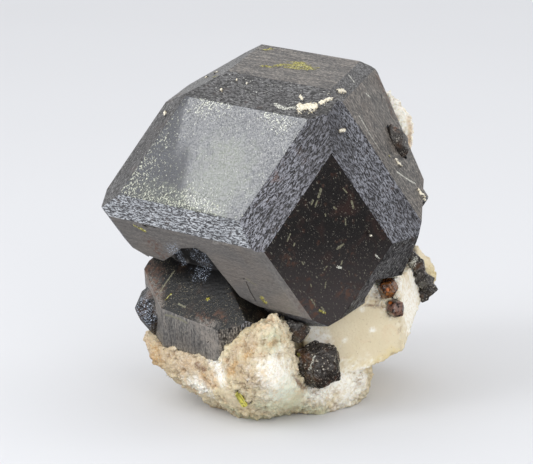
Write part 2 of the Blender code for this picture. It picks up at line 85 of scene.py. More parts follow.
CRYSTAL_MARKS = (
    ("crust", 0.85, ((5.4, -17.2, 49.9), (6.4, -17.5, 50.1))),
    ("crust", 0.6, ((5.0, -16.8, 50.0), (7.1, -18.0, 49.8))),
    ("crust", 0.36, ((8.2, -17.5, 50.5), (8.9, -17.2, 51.0), (9.7, -17.1, 51.2))),
    ("crust", 0.3, ((9.4, -15.9, 51.6),)),
    ("crust", 0.45, ((11.0, -13.9, 51.8), (11.6, -12.6, 51.8))),
    ("crust", 0.24, ((11.0, -18.8, 46.7), (11.6, -18.2, 46.7))),
    ("crust", 0.2, ((5.1, -14.6, 51.3), (5.4, -15.5, 50.9))),
    ("pale", 0.3, ((1.4, -14.7, 50.1), (2.0, -15.6, 49.8), (2.8, -16.1, 49.7))),
    ("pale", 0.25, ((3.2, -16.3, 49.7), (4.2, -16.6, 49.9))),
    ("pale", 0.16, ((0.4, -14.2, 50.5),)),
    ("crust", 0.22, ((-6.9, -8.3, 51.3),)),
    ("crust", 0.17, ((-3.0, -8.6, 52.3),)),
    ("crust", 0.17, ((-4.6, -7.1, 52.7),)),
    ("crust", 0.2, ((-15.8, -4.9, 47.4), (-15.6, -5.6, 46.9))),
    ("crust", 0.35, ((-8.0, 3.8, 52.3),)),
    ("crust", 0.3, ((-9.6, 4.6, 51.6),)),
    ("pale", 0.14, ((14.1, -13.3, 48.1), (14.9, -13.0, 46.8), (15.6, -12.9, 45.4),
                    (16.4, -12.6, 44.1), (17.2, -12.1, 42.9))),
    ("pale", 0.17, ((12.8, -4.3, 53.1), (13.6, -6.0, 52.2))),
    ("pale", 0.13, ((15.5, -4.8, 50.3), (16.2, -3.9, 49.6))),
    ("crust", 0.12, ((19.9, -7.7, 40.4), (20.4, -7.4, 39.7), (20.9, -6.8, 39.1))),
    ("crust", 0.22, ((23.7, -4.6, 35.0), (24.3, -4.4, 34.1), (25.0, -2.3, 32.9))),
    ("crust", 0.16, ((15.8, -17.4, 30.4),)),
    ("olive", 0.42, ((-0.7, -0.5, 54.0), (0.5, -1.1, 53.9))),
    ("olive", 0.6, ((1.8, -0.2, 54.0), (2.6, 0.8, 54.1), (3.6, 0.2, 54.0))),
    ("olive", 0.8, ((4.4, 0.2, 53.9), (4.9, 2.6, 54.1), (5.8, 0.4, 53.9), (6.9, -1.3, 53.7))),
    ("olive", 0.5, ((3.4, -1.2, 53.8), (6.2, -2.0, 53.7))),
    ("olive", 0.35, ((-0.2, 11.2, 55.0), (0.7, 12.1, 55.1))),
    ("olive", 0.24, ((18.9, -9.5, 41.2),)),
    ("olive", 0.3, ((-8.2, -3.0, 52.6), (-7.4, -4.0, 52.6))),
    ("olive", 0.22, ((-20.5, -10.3, 30.5), (-19.6, -10.7, 30.1), (-18.8, -10.9, 29.7))),
    ("olive", 0.18, ((-19.4, -10.6, 30.6), (-18.0, -11.3, 30.0))),
    ("pale", 0.16, ((20.2, -9.7, 38.8), (21.2, -8.0, 37.8), (22.3, -6.2, 36.8), (23.5, -4.0, 35.8))),
    ("rust", 0.9, ((-14.0, -2.5, 49.5),)),
    ("rust", 0.7, ((1.4, -21.2, 40.0),)),
    ("rust", 1.0, ((-17.8, -10.0, 27.6), (-16.1, -9.4, 25.4))),
    ("rust", 0.9, ((17.8, 4.6, 51.4), (19.1, 3.9, 48.6), (20.0, 2.7, 46.2))),
    ("rust", 0.5, ((3.1, -21.8, 28.6), (3.9, -21.4, 27.0))),
    ("rust", 0.9, ((11.9, -17.7, 21.6), (13.2, -16.8, 21.4))),
    ("rust", 1.0, ((5.6, -19.9, 20.6), (7.0, -19.2, 18.9))),
    ("fleck", 0.13, ((-14.6, -5.3, 22.0), (-15.7, -6.0, 20.6), (-16.7, -6.8, 19.1))),
    ("olive", 0.13, ((-15.0, -8.0, 18.9), (-15.8, -8.4, 18.1))),
    ("fleck", 0.16, ((-13.8, -9.8, 17.8), (-12.7, -10.8, 17.5))),
    ("olive", 0.3, ((-9.1, -11.6, 19.0),)),
    ("rust", 0.7, ((-10.2, -13.3, 16.6), (-8.9, -14.3, 16.3))),
    ("rust", 0.5, ((-7.6, -14.1, 17.4), (-6.4, -15.3, 16.9))),
    ("fleck", 0.2, ((-15.8, -9.4, 15.9), (-13.8, -11.1, 15.8), (-12.4, -12.1, 15.3))),
    ("crack", 0.09, ((-3.1, -17.2, 23.1), (-2.5, -16.2, 21.2), (-1.6, -15.4, 19.5))),
    ("crack", 0.09, ((-3.4, -17.4, 23.6), (-4.4, -16.6, 22.4))),
    ("crack", 0.15, ((-1.6, -18.2, 23.2), (-1.2, -18.4, 23.4))),
    ("fleck", 0.15, ((-3.0, -17.8, 23.7), (-2.2, -17.9, 23.1), (-1.6, -18.2, 22.8))),
    ("olive", 0.35, ((-0.7, -16.9, 20.5), (-0.2, -16.7, 19.8))),
    ("fleck", 0.18, ((3.4, -19.2, 19.4),)),
    ("olive", 0.16, ((8.1, -19.2, 19.1), (8.9, -18.9, 18.6))),
    ("fleck", 0.22, ((8.3, -19.0, 19.6), (8.7, -18.9, 18.9))),
    # deep: painted shade, near-black over the hollow under the main crystal, where shade falls
    ("deep", 2.4, ((-12.9, -6.3, 25.0), (-10.2, -8.6, 25.3), (-8.4, -8.8, 23.9), (-7.4, -9.2, 22.5))),
    ("deep", 2.0, ((-11.1, -6.7, 22.8), (-9.4, -8.5, 22.0), (-8.0, -10.5, 20.5))),
    # painted shade: darkening low on the lower crystal's face
    ("painted_dimming", 2.4, ((-16.0, -7.7, 11.7), (-13.6, -9.8, 11.4), (-11.6, -11.5, 11.4))),
    # deep: painted shade over the notch beside the hollow
    ("deep", 1.4, ((-14.0, -4.6, 24.0), (-12.4, -6.5, 24.7), (-11.1, -6.3, 23.4))),
    # painted highlights: blue-white glints in the hollow
    ("painted_glint", 1.0, ((-10.2, -8.6, 25.3), (-9.8, -8.0, 23.0))),
    ("worn", 1.1, ((-18.7, -4.2, 19.8), (-17.6, -6.7, 18.5), (-17.1, -7.1, 16.1))),
    # painted shade: darkening the ridged strips towards the top corner
    ("painted_dimming", 3.4, ((9.0, -20.1, 48.4), (8.0, -20.5, 46.0))),
    ("painted_dimming", 2.4, ((9.5, -19.3, 49.6), (11.4, -19.0, 45.0))),
    ("worn", 1.0, ((-9.5, -14.2, 13.9), (-8.0, -15.1, 12.5))),
    ("worn", 0.8, ((-10.8, -13.4, 15.4), (-8.4, -15.1, 15.7))),
    ("worn", 0.6, ((-18.9, -3.4, 20.6), (-18.5, -4.6, 19.6), (-16.7, -8.5, 17.3))),
    ("crack", 0.07, ((-7.3, -16.4, 15.1), (-8.0, -15.2, 14.0), (-9.2, -14.0, 12.6))),
    ("rust", 1.4, ((-18.9, -2.7, 21.9), (-18.5, -4.5, 20.4), (-17.6, -6.2, 19.1))),
    # painted highlights: blue-white glints in the hollow and on the small left crystal
    ("painted_glint", 1.2, ((-13.6, -12.1, 27.2), (-11.8, -8.5, 24.6), (-10.4, -8.1, 22.4))),
    ("painted_glint", 0.6, ((-14.6, -12.1, 27.2), (-14.0, -5.3, 24.8), (-13.1, -4.9, 23.4))),
    ("painted_glint", 1.3, ((-19.8, -5.3, 16.5), (-19.4, -5.5, 15.1), (-19.1, -5.4, 13.9))),
    # long flecks in the dark face
    ("fleck", 0.2, ((8.1, -21.1, 38.2), (7.8, -21.1, 37.0))),
    ("fleck", 0.13, ((7.6, -21.1, 36.5), (7.3, -21.2, 35.6))),
    ("fleck", 0.11, ((7.0, -21.4, 36.6), (6.7, -21.4, 35.9))),
    ("fleck", 0.15, ((12.8, -19.1, 36.0), (13.2, -18.9, 34.8))),
    ("fleck", 0.11, ((11.5, -19.8, 38.1), (12.1, -19.5, 37.4))),
    ("fleck", 0.14, ((10.1, -20.1, 35.3), (10.5, -19.9, 35.0))),
    ("fleck", 0.11, ((8.8, -20.5, 34.3), (8.9, -20.4, 34.0))),
    ("fleck", 0.09, ((11.9, -19.2, 33.3), (12.0, -19.1, 32.2))),
    ("fleck", 0.17, ((10.7, -19.2, 28.7), (11.6, -18.9, 29.3))),
    ("fleck", 0.11, ((3.6, -22.2, 31.6), (3.1, -22.2, 30.5))),
    ("fleck", 0.11, ((4.3, -21.8, 30.1), (4.1, -21.8, 29.7))),
    ("pale", 0.16, ((10.8, -18.9, 25.8), (11.3, -18.7, 25.6))),
    ("fleck", 0.1, ((11.5, -18.7, 26.7), (11.3, -18.7, 26.1))),
    ("fleck", 0.11, ((6.8, -19.9, 21.0), (7.4, -19.6, 20.0))),
    ("fleck", 0.09, ((9.0, -19.3, 23.5), (8.9, -19.3, 22.6))),
    ("pale", 0.11, ((16.6, -16.8, 27.2), (17.2, -16.5, 26.6))),
    ("fleck", 0.08, ((6.7, -20.2, 23.4), (6.8, -20.1, 23.0))),
    ("fleck", 0.09, ((5.3, -21.0, 27.1), (5.6, -20.9, 26.6))),
    ("fleck", 0.09, ((9.2, -19.5, 26.1), (8.7, -19.6, 25.5))),
    ("fleck", 0.09, ((12.5, -18.1, 25.0), (12.6, -18.0, 24.5))),
    # on the small crystals
    ("pale", 0.13, ((7.4, -16.3, 11.3), (7.1, -16.6, 10.4), (6.5, -16.5, 9.0))),
    ("olive", 0.35, ((4.9, -14.7, 10.8),)),
    ("rust", 1.0, ((6.1, -15.7, 10.6), (6.4, -16.2, 9.8))),
    ("rust", 0.7, ((20.3, -3.4, 44.6),)),
    ("rust", 0.5, ((11.0, -14.6, 7.3), (9.2, -15.0, 6.1))),
    # painted light: orange glints shining through the rust garnets
    ("painted_glow", 0.34, ((19.2, -9.8, 18.0),)),
    ("painted_glow", 0.3, ((18.9, -11.1, 20.4),)),
    ("pale", 0.5, ((23.8, 0.5, 22.4), (23.4, 0.9, 21.6))),
    # where the polished face is thick with flecks, and where a paler film is painted as the softbox's
    # reflection running on low on the face
    ("flecked", 4.5, ((-22.5, -7.5, 36.0), (-18.0, -5.0, 43.0))),
    ("flecked", 2.6, ((-21.0, -11.0, 34.5), (-13.0, -16.0, 34.5), (-9.0, -17.5, 34.0))),
    ("flecked", 2.0, ((-9.5, -9.0, 49.3), (-6.5, -10.5, 49.8))),
    ("flecked", 1.4, ((0.5, -15.8, 48.2), (3.0, -18.0, 47.0))),
    # painted reflection: a paler greenish film low on the polished face
    ("painted_reflection", 4.5, ((-9.3, -18.0, 35.2), (-6.3, -16.8, 40.4))),
    ("painted_reflection", 2.2, ((-18.7, -12.3, 34.9), (-13.0, -15.6, 34.8), (-8.0, -18.4, 34.6))),
)

# ---- marks on the rock -----------------------------------

ROCK_MARKS = (
    ("sleek", 2.4, ((1.3, -21.5, 10.3), (2.4, -20.0, 7.5), (4.0, -15.0, 2.9))),
    ("sleek", 1.6, ((-6.9, -17.2, 7.0), (-5.0, -17.0, 3.0))),
    ("sleek", 1.8, ((12.0, -10.0, 5.0), (13.0, -9.0, 2.5))),
    ("tan", 2.6, ((-19.0, -3.9, 10.0), (-16.9, -7.2, 8.8), (-13.6, -10.7, 8.3), (-10.4, -13.2, 8.0))),
    ("tan", 1.4, ((-2.5, -20.0, 14.7), (-1.5, -20.6, 12.0))),
    ("tan", 1.0, ((-4.8, -18.9, 12.8), (-5.5, -18.2, 10.0))),
    ("ochre", 0.8, ((-1.4, -20.6, 13.2), (-0.6, -20.9, 12.8))),
    ("ochre", 0.6, ((-4.6, -19.6, 11.0), (-5.6, -18.6, 9.0))),
    ("ochre", 0.8, ((-9.8, -13.6, 7.2), (-8.9, -14.2, 6.2))),
    ("white", 1.6, ((-12.0, -12.0, 5.0), (-9.6, -13.6, 5.2))),
    ("white", 2.6, ((8.0, -12.6, 4.6), (12.0, -10.4, 5.2), (15.0, -8.0, 5.4), (13.0, -8.6, 2.4))),
    ("ochre", 1.6, ((-17.5, -6.0, 8.0),)),
    ("brown", 0.45, ((-10.9, -12.9, 8.7), (-9.9, -13.6, 8.4))),
    ("brown", 0.4, ((4.6, -17.3, 7.4), (5.6, -16.0, 6.0), (6.6, -14.8, 5.7))),
    ("brown", 0.3, ((-2.0, -20.5, 13.0), (-1.2, -20.7, 13.0))),
    ("white", 2.6, ((1.3, -21.5, 10.3), (2.8, -19.2, 6.5))),
    ("white", 1.0, ((-8.3, -14.0, 10.3), (-7.6, -16.2, 9.2), (-6.9, -17.2, 7.5))),
    ("green", 2.2, ((2.8, -19.2, 6.5), (4.0, -15.0, 2.9), (0.5, -17.6, 3.4))),
    ("green", 0.9, ((-6.3, -14.4, 2.2), (-4.1, -13.5, 0.6), (0.5, -13.4, 0.3), (2.9, -11.7, 0.4))),
    ("green", 1.2, ((5.6, -12.5, 1.6), (7.2, -11.2, 0.6), (8.4, -10.9, 0.2))),
    ("green", 0.3, ((-7.8, -14.7, 11.2), (-7.5, -15.5, 10.4))),
    ("gold", 0.7, ((13.4, -10.0, 8.7),)),
    ("gold", 0.8, ((12.6, -10.2, 7.2), (16.3, -9.3, 7.8), (20.3, -8.5, 9.6))),
    ("gold", 0.8, ((13.8, -8.8, 4.3), (12.3, -9.1, 1.8))),
    ("gold", 0.8, ((10.8, -10.7, 3.2),)),
    ("gold", 1.3, ((26.8, 6.5, 19.5), (27.9, 8.0, 18.2))),
    ("gold", 1.0, ((8.6, -12.4, 6.0), (11.0, -11.4, 6.6))),
    ("ochre", 0.6, ((26.6, 6.8, 17.4),)),
    ("white", 1.6, ((7.5, -10.5, 13.5), (9.0, -10.4, 10.0))),
    ("brown", 0.22, ((15.7, -9.4, 17.5), (17.0, -9.3, 17.3), (18.3, -9.0, 17.1))),
    ("tan", 0.5, ((8.1, -10.3, 12.4), (9.6, -10.3, 11.6))),
    ("ochre", 0.7, ((-3.3, -20.8, 12.5), (-2.4, -20.8, 12.9))),
    ("ochre", 0.5, ((0.5, -20.9, 14.1), (1.2, -20.2, 14.6))),
    ("tan", 1.8, ((-4.0, -20.8, 10.1), (-1.7, -22.7, 9.1))),
    ("green", 1.3, ((1.2, -20.3, 15.0), (0.4, -20.9, 14.0))),
    ("brown", 0.35, ((-10.4, -13.3, 8.4), (-9.6, -13.8, 8.0))),
    ("white", 0.4, ((15.0, -9.5, 16.9),)),
    ("white", 0.45, ((16.6, -9.5, 13.5),)),
    ("white", 0.35, ((12.3, -10.0, 12.0),)),
    ("white", 3.2, ((22.6, -4.6, 17.3), (23.4, -3.0, 13.6), (24.2, 0.5, 18.7))),
    ("white", 2.4, ((20.6, -8.0, 21.2), (18.0, -9.0, 20.6))),
    ("white", 6.0, ((20.0, 14.0, 46.0), (23.5, 12.5, 41.0), (23.5, 12.0, 30.0))),
    ("green", 0.7, ((23.4, 0.5, 22.2),)),
    ("ochre", 0.35, ((23.2, 13.4, 43.4), (23.6, 12.7, 41.6), (23.4, 12.4, 38.6))),
)

# ---- finishes --------------------------------------------


def colour(*looks):
    """A colour given as it looks, red, green and blue from 0 to 255, as the shader's linear one."""
    linear = [((c / 255 + 0.055) / 1.055) ** 2.4 if c > 10 else c / 255 / 12.92 for c in looks]
    return (*linear, 1.0)


class Value:
    """One output of a node, with the arithmetic that adds Math nodes."""

    def __init__(self, graph, socket):
        self.graph, self.socket = graph, socket

    def maths(self, operation, *values):
        return self.graph.node("ShaderNodeMath", {"operation": operation}, dict(enumerate(values)))

    def __add__(self, other):
        return self.maths("ADD", self, other)

    def __sub__(self, other):
        return self.maths("SUBTRACT", self, other)

    def __rsub__(self, other):
        return self.maths("SUBTRACT", other, self)

    def __mul__(self, other):
        return self.maths("MULTIPLY", self, other)

    __radd__, __rmul__ = __add__, __mul__

    def most(self, other):
        """The larger of the two."""
        return self.maths("MAXIMUM", self, other)

    def least(self, other):
        """The smaller of the two."""
        return self.maths("MINIMUM", self, other)

    def between(self, low, high):
        """0 below low and 1 above high, or the other way round where low is the higher."""
        settings = {"interpolation_type": "SMOOTHSTEP"}
        return self.graph.node("ShaderNodeMapRange", settings, {0: self, 1: low, 2: high})


class Graph:
    """A node tree, and the one way that nodes are added to it."""

    def __init__(self, tree):
        self.tree = tree

    def node(self, kind, settings, sockets, output=0):
        node = self.tree.nodes.new(kind)
        for name, value in settings.items():
            setattr(node, name, value)
        for name, value in sockets.items():
            if isinstance(value, Value):
                self.tree.links.new(value.socket, node.inputs[name])
            else:
                node.inputs[name].default_value = value
        return Value(self, node.outputs[output])


class Finish(Graph):
    """A material, its Principled shader and the nodes that feed it.  Patterns are in millimetres."""

    def __init__(self, name, **constants):
        self.material = bpy.data.materials.new(name)
        self.material.use_nodes = True
        super().__init__(self.material.node_tree)
        self.shader = self.tree.nodes["Principled BSDF"]
        for socket, value in constants.items():
            self.shader.inputs[socket.replace("_", " ")].default_value = value
        place = self.node("ShaderNodeTexCoord", {}, {}, "Object")
        self.place = self.node("ShaderNodeVectorMath", {"operation": "SCALE"}, {0: place, "Scale": 1 / MM})

    def grown(self):
        """The piece's own UV map: millimetres along a face's growth lines, and across them."""
        return self.node("ShaderNodeUVMap", {"uv_map": "growth"}, {})

    def stretched(self, place, along, across, turn=0.0):
        """A place with its first two axes scaled, and turned by some degrees."""
        sockets = {"Vector": place, "Scale": (along, across, 1.0),
                   "Rotation": (0.0, 0.0, math.radians(turn))}
        return self.node("ShaderNodeMapping", {}, sockets)

    def noise(self, scale, detail=2.0, place=None, rough=0.5, warp=0.0):
        sockets = {"Vector": place or self.place, "Scale": scale, "Detail": detail,
                   "Roughness": rough, "Distortion": warp}
        return self.node("ShaderNodeTexNoise", {}, sockets)

    def cells(self, scale):
        """The distance to the nearest of some scattered points."""
        sockets = {"Vector": self.place, "Scale": scale}
        return self.node("ShaderNodeTexVoronoi", {"feature": "F1"}, sockets, "Distance")

    def mark(self, name):
        """How strong a painted mark is, from 0 to 1."""
        return self.node("ShaderNodeAttribute", {"attribute_name": name}, {}, "Fac")

    def blend(self, share, first, second):
        """A colour from the first towards the second."""
        return self.node("ShaderNodeMix", {"data_type": "RGBA"}, {0: share, 6: first, 7: second}, 2)

    def bump(self, height, depth, strength=1.0, under=None):
        """A Bump node for a height of 0 to 1 that stands depth millimetres high."""
        sockets = {"Height": height, "Distance": depth * MM, "Strength": strength}
        return self.node("ShaderNodeBump", {}, sockets | ({"Normal": under} if under else {}))

    def feed(self, **sockets):
        """Links each value to the shader's socket of that name, and gives the material."""
        for name, value in sockets.items():
            self.tree.links.new(value.socket, self.shader.inputs[name.replace("_", " ")])
        return self.material


CREAM, PALE_FLECK, DULL_FLECK = colour(242, 236, 218), colour(212, 212, 200), colour(128, 126, 104)
OLIVE, RUST, CRACK = colour(172, 164, 58), colour(98, 64, 45), colour(26, 21, 18)
PAINTED_GLINT, PAINTED_SHADE, WORN = colour(178, 188, 204), colour(13, 12, 14), colour(148, 140, 132)


def marked(finish, base):
    """The base colour with the crusts, stains and cracks that every garnet face may carry, and with painted
    shade and painted glints where those marks lie.
    """
    fine = finish.noise(5.5, 3.0)

    def torn(name, much=1.0, solid=1.0):
        """A mark cut to a torn outline, and to holes where it is less solid."""
        whole = finish.mark(name)
        ragged = (whole * solid + (fine - 0.5) * (2.2 * much)).between(0.42, 0.6)
        return ragged * whole.between(0.02, 0.25)

    # painted shade: darker where those marks lie
    base = finish.blend(finish.mark("painted_dimming") * 0.35, base, colour(34, 32, 33))
    base = finish.blend(finish.mark("worn") * fine.between(0.3, 0.6) * 0.7, base, WORN)
    stain = finish.mark("rust") * 0.7 * finish.noise(1.7, 4.0).between(0.42, 0.6)
    base = finish.blend(stain, base, RUST)
    # painted shade: the deep marks turn the hollow and the notch near-black
    base = finish.blend(finish.mark("deep").between(0.0, 1.0) * 0.92, base, PAINTED_SHADE)
    base = finish.blend(torn("fleck", 0.8) * fine.between(0.3, 0.55) * 0.8, base, DULL_FLECK)
    base = finish.blend(torn("pale", 2.4, 0.72) * 0.9, base, PALE_FLECK)
    # painted highlight: blue-white glints sprinkled into the colour where those marks lie
    glitter = finish.mark("painted_glint").between(0.0, 0.7) * finish.noise(5.5, 1.0).between(0.56, 0.64)
    base = finish.blend(glitter, base, PAINTED_GLINT)
    base = finish.blend(torn("crack", 0.6) * 0.9, base, CRACK)
    olive = finish.blend(finish.noise(3.4).between(0.42, 0.58), OLIVE, colour(92, 84, 28))
    olive = finish.blend(finish.noise(4.6).between(0.56, 0.64) * 0.8, olive, colour(224, 222, 160))
    base = finish.blend(torn("olive", 2.0, 0.95) * 0.95, base, olive)
    cream = finish.blend(fine.between(0.52, 0.66), CREAM, colour(220, 202, 162))
    return finish.blend(torn("crust"), base, cream)


def matt_marks(finish):
    """Where crusts and stains make a face matt."""
    return (finish.mark("crust") + finish.mark("olive") + finish.mark("rust") * 0.4).least(1.0)


def polished_face():
    """The clear rhomb: a bright coat over a grey film that is worn to specks."""
    finish = Finish("polished_garnet", Coat_Roughness=0.04, Coat_IOR=1.75, IOR=1.55)
    speck = finish.noise(4.2, 2.0, rough=0.7)
    cloud = finish.noise(0.22, 2.0)
    thick = finish.mark("flecked")
    film = speck.between(0.4, 0.62) * 0.8 + cloud.between(0.3, 0.7) * 0.2
    base = finish.blend(film, colour(40, 41, 48), colour(80, 83, 90))
    # painted reflection: a paler greenish film where the softbox's reflection runs on
    base = finish.blend(finish.mark("painted_reflection") * speck.between(0.3, 0.6) * 0.7, base, colour(118, 124, 108))
    dark = finish.noise(3.2, 2.0, rough=0.65).between(0.52, 0.42) * (thick * 0.7 + 0.3)
    base = finish.blend(dark, base, colour(26, 25, 28))
    lines = finish.stretched(finish.grown(), 1.5, 3.6, turn=12)
    flecks = finish.noise(1.2, 1.5, place=lines)
    base = finish.blend((flecks + thick * 0.12).between(0.66, 0.77) * 0.75, base, colour(204, 206, 184))
    crossing = finish.noise(1.6, 1.0, place=finish.stretched(finish.grown(), 3.0, 1.5, turn=-35))
    base = finish.blend((crossing + thick * 0.1).between(0.66, 0.77) * 0.75, base, colour(212, 214, 196))
    coat = (speck.between(0.62, 0.4) * 0.8 + 0.2) * (1 - matt_marks(finish)).most(0)
    rough = speck.between(0.3, 0.7) * 0.2 + 0.36
    normal = finish.bump(finish.noise(3.0, 3.0), 0.012)
    return finish.feed(Base_Color=marked(finish, base), Roughness=rough, Coat_Weight=coat, Normal=normal)


def dark_face():
    """The near-black rhomb, with a red-brown depth and faint flecks lying two ways."""
    finish = Finish("dark_garnet_face", IOR=1.75)
    depth = finish.noise(0.28, 4.0, warp=0.8)
    up = finish.node("ShaderNodeSeparateXYZ", {}, {0: finish.place}, "Z")
    base = finish.blend(up.between(33.0, 18.0), colour(34, 32, 32), colour(62, 57, 57))
    base = finish.blend(depth.between(0.5, 0.75) * 0.6, base, colour(60, 42, 38))
    base = finish.blend(finish.noise(1.6, 4.0).between(0.56, 0.72) * 0.4, base, colour(66, 58, 53))
    base = finish.blend(finish.noise(0.8, 4.0).between(0.6, 0.75) * 0.3, base, colour(98, 58, 38))
    for turn, limit in ((0.0, 0.66), (70.5, 0.67), (35.0, 0.69)):
        lying = finish.stretched(finish.grown(), 1.5, 3.6, turn=turn)
        fleck = finish.noise(1.0, 1.0, place=lying).between(limit, limit + 0.1)
        base = finish.blend(fleck * 0.45, base, colour(142, 140, 124))
    base = finish.blend(finish.noise(4.4, 1.0).between(0.7, 0.78) * 0.5, base, colour(160, 156, 146))
    rough = finish.noise(1.6, 3.0) * 0.16 + 0.14 + matt_marks(finish) * 0.3
    normal = finish.bump(finish.noise(2.6, 4.0), 0.03)
    return finish.feed(Base_Color=marked(finish, base), Roughness=rough, Normal=normal)


def ridged_strip(name, valley, crest_highlight_dull, crest_highlight_pale, white_from, relief, fineness):
    """The narrow faces: short wavy ridges that run along them, with painted highlights on their crests."""
    finish = Finish(name, IOR=1.75)
    lying = finish.stretched(finish.grown(), 1.25 * fineness, 3.4 * fineness)
    ridge = finish.noise(1.0, 1.0, place=lying, rough=0.5, warp=0.8)
    grit = finish.noise(4.6, 2.0, place=finish.stretched(finish.grown(), 0.8, 1.3))
    height = ridge * 0.75 + grit * 0.25
    tint = finish.noise(0.22, 3.0).between(0.35, 0.65)
    pit = finish.blend(finish.noise(0.5, 3.0).between(0.58, 0.75) * 0.7, valley, colour(66, 48, 40))
    # painted highlight: the crests are made lighter than the valleys, for the light they catch
    base = finish.blend(height.between(0.42, 0.6), pit, finish.blend(tint, crest_highlight_dull, crest_highlight_pale))
    white = finish.noise(3.6, 2.0).between(white_from, white_from + 0.05)
    base = finish.blend(white * 0.85, base, colour(214, 214, 206))
    rough = height.between(0.4, 0.65) * -0.14 + 0.42 + matt_marks(finish) * 0.25
    normal = finish.bump(height, relief)
    return finish.feed(Base_Color=marked(finish, base), Roughness=rough, Normal=normal)


def brown_face(name, dull, warm, lines, spread, low_rough, specks, length=0.16, across=1.9):
    """A satin rhomb with fine growth lines and a close dark and pale grain."""
    finish = Finish(name, IOR=1.75)
    lying = finish.stretched(finish.grown(), length, across)
    line = finish.noise(1.0, 4.0, place=lying, rough=0.62)
    cloud = finish.noise(0.16, 3.0, warp=0.4)
    grain = finish.noise(2.1, 3.0, place=finish.stretched(finish.grown(), 0.8, 1.7), rough=0.7)
    base = finish.blend(cloud.between(0.42, 0.68), dull, warm)
    base = finish.blend(line.between(0.45, 0.62) * spread, base, colour(140, 132, 124))
    base = finish.blend(line.between(0.5, 0.4) * spread, base, colour(38, 34, 33))
    base = finish.blend(grain.between(0.52, 0.38) * specks, base, colour(32, 28, 27))
    base = finish.blend(grain.between(0.53, 0.64) * specks * 0.8, base, colour(170, 162, 150))
    base = finish.blend(finish.noise(2.6, 1.0).between(0.76, 0.8) * 0.7, base, colour(196, 186, 160))
    rough = finish.noise(2.0, 3.0) * 0.2 + low_rough + matt_marks(finish) * 0.2
    normal = finish.bump(line, lines, under=finish.bump(grain, 0.08))
    return finish.feed(Base_Color=marked(finish, base), Roughness=rough, Normal=normal)


def etched_face(name, ground, fleck, pits, rough_from, warm=0.5, shine=1.75, coarse=1.0):
    """Broken or etched garnet: black, with a glitter of small pits, bumped and with painted pale glints."""
    finish = Finish(name, IOR=shine)
    pit = finish.cells(2.2 * coarse)
    small = finish.noise(5.2 * coarse, 2.0, rough=0.6)
    height = pit * 0.6 + small * 0.5
    # painted highlight: pale specks stand in for glints of light on the pits
    base = finish.blend(small.between(0.6, 0.69), ground, fleck)
    base = finish.blend(finish.noise(0.45, 4.0).between(0.5, 0.7) * warm, base, colour(84, 58, 40))
    rough = small * 0.3 + rough_from + matt_marks(finish) * 0.2
    normal = finish.bump(height, pits)
    return finish.feed(Base_Color=marked(finish, base), Roughness=rough, Normal=normal)


def rust_crystal(name, dark, warm, bright):
    """Small red-brown garnets, with orange light through them painted into their colour."""
    finish = Finish(name, IOR=1.76, Coat_Weight=0.6, Coat_Roughness=0.06)
    deep = finish.noise(1.3, 2.0)
    base = finish.blend(deep.between(0.42, 0.6), dark, warm)
    # painted highlight: orange glints of light through the crystal, as much as bright asks, and more where
    # the glow marks lie
    base = finish.blend(finish.noise(2.4, 2.0).between(0.58, 0.7) * bright, base, colour(206, 120, 40))
    base = finish.blend(finish.mark("painted_glow").between(0.1, 0.9) * 0.8, base, colour(206, 112, 42))
    base = finish.blend(finish.noise(3.5, 3.0).between(0.56, 0.68) * 0.6, base, colour(36, 22, 17))
    normal = finish.bump(finish.noise(3.4, 3.0), 0.1)
    return finish.feed(Base_Color=base, Roughness=finish.noise(2.5) * 0.25 + 0.12, Normal=normal)


def epidote():
    """The yellow-green prism in the front of the rock."""
    finish = Finish("epidote", IOR=1.73, Coat_Weight=0.4, Coat_Roughness=0.1)
    length = finish.stretched(finish.grown(), 0.4, 4.0)
    streak = finish.noise(1.0, 2.0, place=length).between(0.4, 0.6)
    base = finish.blend(streak, colour(146, 138, 48), colour(226, 218, 104))
    base = finish.blend(finish.noise(1.8, 2.0).between(0.56, 0.66) * 0.7, base, colour(232, 226, 150))
    base = finish.blend(finish.noise(1.1, 3.0).between(0.58, 0.7) * 0.7, base, colour(74, 70, 18))
    normal = finish.bump(finish.noise(3.0, 2.0, place=length), 0.08)
    return finish.feed(Base_Color=base, Roughness=finish.noise(3.0) * 0.2 + 0.2, Normal=normal)


